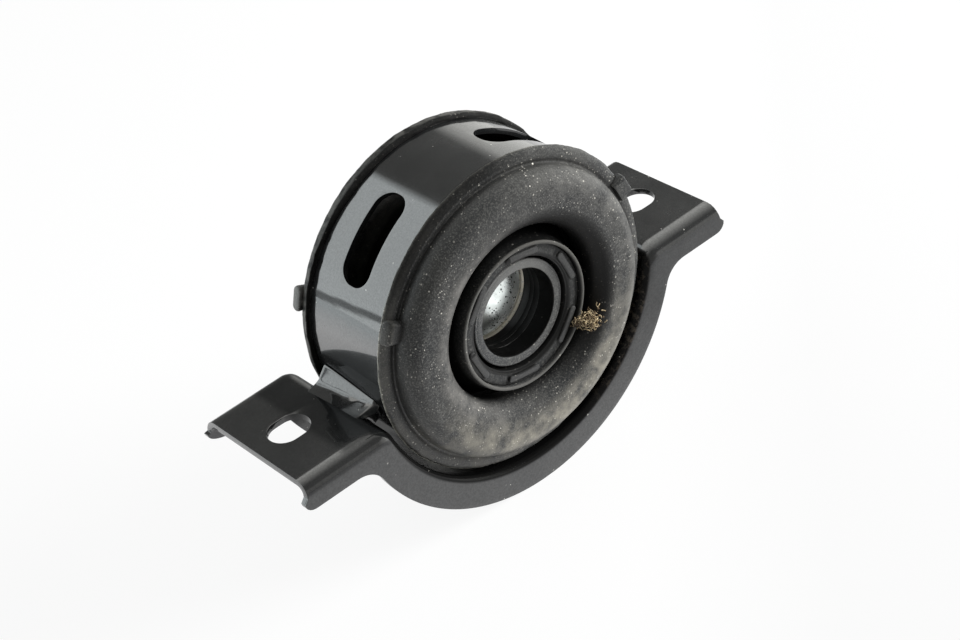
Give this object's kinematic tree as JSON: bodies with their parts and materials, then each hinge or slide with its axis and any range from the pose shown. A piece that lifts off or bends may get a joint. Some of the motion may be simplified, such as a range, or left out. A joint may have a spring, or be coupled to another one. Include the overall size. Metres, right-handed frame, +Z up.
{
  "type": "driveshaft centre bearing",
  "caption": "Shaft support bearing: a ball bearing in a hollow rubber cushion, inside a pierced steel ring that is welded to a flanged saddle bracket with slotted ears.",
  "frame": {"origin": "under the middle of the part, level with the lowest line of the bracket's flanges", "axes": "+X along the bracket's ears, -Y out of the front end of the shaft axis, +Z up"},
  "size_m": [0.1934, 0.0616, 0.1295],
  "materials": {
    "black_paint": "gloss black paint",
    "painted_weld": "gloss black paint over a weld bead",
    "moulded_rubber": "satin moulded rubber, dusty",
    "seal_rubber": "satin moulded rubber",
    "race_steel": "ground steel",
    "ball_steel": "polished steel",
    "pressed_steel": "plain pressed sheet steel",
    "slinger_finish": "dark satin coating"
  },
  "bodies": {
    "housing": {"bracket": "black_paint", "ring_band": "black_paint", "weld_left": "painted_weld", "weld_right": "painted_weld", "rubber_cushion": "moulded_rubber", "bearing_sleeve": "pressed_steel", "outer_race": "race_steel", "bearing_shield_front": "pressed_steel", "bearing_shield_rear": "pressed_steel", "seal_stiffener_front": "pressed_steel", "seal_stiffener_rear": "pressed_steel", "dust_seal_front": "seal_rubber", "dust_seal_rear": "seal_rubber"},
    "rotor": {"inner_race": "race_steel", "slinger_front": "slinger_finish", "slinger_rear": "slinger_finish"},
    "cage": {"cage_front": "pressed_steel", "cage_rear": "pressed_steel", "rivet_1": "pressed_steel", "rivet_2": "pressed_steel", "rivet_3": "pressed_steel", "rivet_4": "pressed_steel", "rivet_5": "pressed_steel", "rivet_6": "pressed_steel", "rivet_7": "pressed_steel", "rivet_8": "pressed_steel", "rivet_9": "pressed_steel"},
    "bearing_ball_1": {"ball_1": "ball_steel"},
    "bearing_ball_2": {"ball_2": "ball_steel"},
    "bearing_ball_3": {"ball_3": "ball_steel"},
    "bearing_ball_4": {"ball_4": "ball_steel"},
    "bearing_ball_5": {"ball_5": "ball_steel"},
    "bearing_ball_6": {"ball_6": "ball_steel"},
    "bearing_ball_7": {"ball_7": "ball_steel"},
    "bearing_ball_8": {"ball_8": "ball_steel"},
    "bearing_ball_9": {"ball_9": "ball_steel"}
  },
  "joints": [
    {"name": "shaft_spin", "type": "hinge", "parent": "housing", "child": "rotor", "pos_m": [0, -0.00137, 0.07162], "axis": [0, 1, 0], "continuous": true},
    {"name": "cage_orbit", "type": "hinge", "parent": "housing", "child": "cage", "pos_m": [0, -0.00137, 0.07162], "axis": [0, 1, 0], "continuous": true},
    {"name": "ball_1_roll", "type": "hinge", "parent": "cage", "child": "bearing_ball_1", "pos_m": [0, -0.00137, 0.09462], "axis": [0, 1, 0], "continuous": true},
    {"name": "ball_2_roll", "type": "hinge", "parent": "cage", "child": "bearing_ball_2", "pos_m": [-0.01478, -0.00137, 0.08924], "axis": [0, 1, 0], "continuous": true},
    {"name": "ball_3_roll", "type": "hinge", "parent": "cage", "child": "bearing_ball_3", "pos_m": [-0.02265, -0.00137, 0.07561], "axis": [0, 1, 0], "continuous": true},
    {"name": "ball_4_roll", "type": "hinge", "parent": "cage", "child": "bearing_ball_4", "pos_m": [-0.01992, -0.00137, 0.06012], "axis": [0, 1, 0], "continuous": true},
    {"name": "ball_5_roll", "type": "hinge", "parent": "cage", "child": "bearing_ball_5", "pos_m": [-0.00787, -0.00137, 0.05001], "axis": [0, 1, 0], "continuous": true},
    {"name": "ball_6_roll", "type": "hinge", "parent": "cage", "child": "bearing_ball_6", "pos_m": [0.00787, -0.00137, 0.05001], "axis": [0, 1, 0], "continuous": true},
    {"name": "ball_7_roll", "type": "hinge", "parent": "cage", "child": "bearing_ball_7", "pos_m": [0.01992, -0.00137, 0.06012], "axis": [0, 1, 0], "continuous": true},
    {"name": "ball_8_roll", "type": "hinge", "parent": "cage", "child": "bearing_ball_8", "pos_m": [0.02265, -0.00137, 0.07561], "axis": [0, 1, 0], "continuous": true},
    {"name": "ball_9_roll", "type": "hinge", "parent": "cage", "child": "bearing_ball_9", "pos_m": [0.01478, -0.00137, 0.08924], "axis": [0, 1, 0], "continuous": true}
  ],
  "couplings": [
    {"joint": "cage_orbit", "follows": "shaft_spin", "ratio": 0.39647},
    {"joint": "ball_1_roll", "follows": "shaft_spin", "ratio": -2.3112},
    {"joint": "ball_2_roll", "follows": "shaft_spin", "ratio": -2.3112},
    {"joint": "ball_3_roll", "follows": "shaft_spin", "ratio": -2.3112},
    {"joint": "ball_4_roll", "follows": "shaft_spin", "ratio": -2.3112},
    {"joint": "ball_5_roll", "follows": "shaft_spin", "ratio": -2.3112},
    {"joint": "ball_6_roll", "follows": "shaft_spin", "ratio": -2.3112},
    {"joint": "ball_7_roll", "follows": "shaft_spin", "ratio": -2.3112},
    {"joint": "ball_8_roll", "follows": "shaft_spin", "ratio": -2.3112},
    {"joint": "ball_9_roll", "follows": "shaft_spin", "ratio": -2.3112}
  ]
}
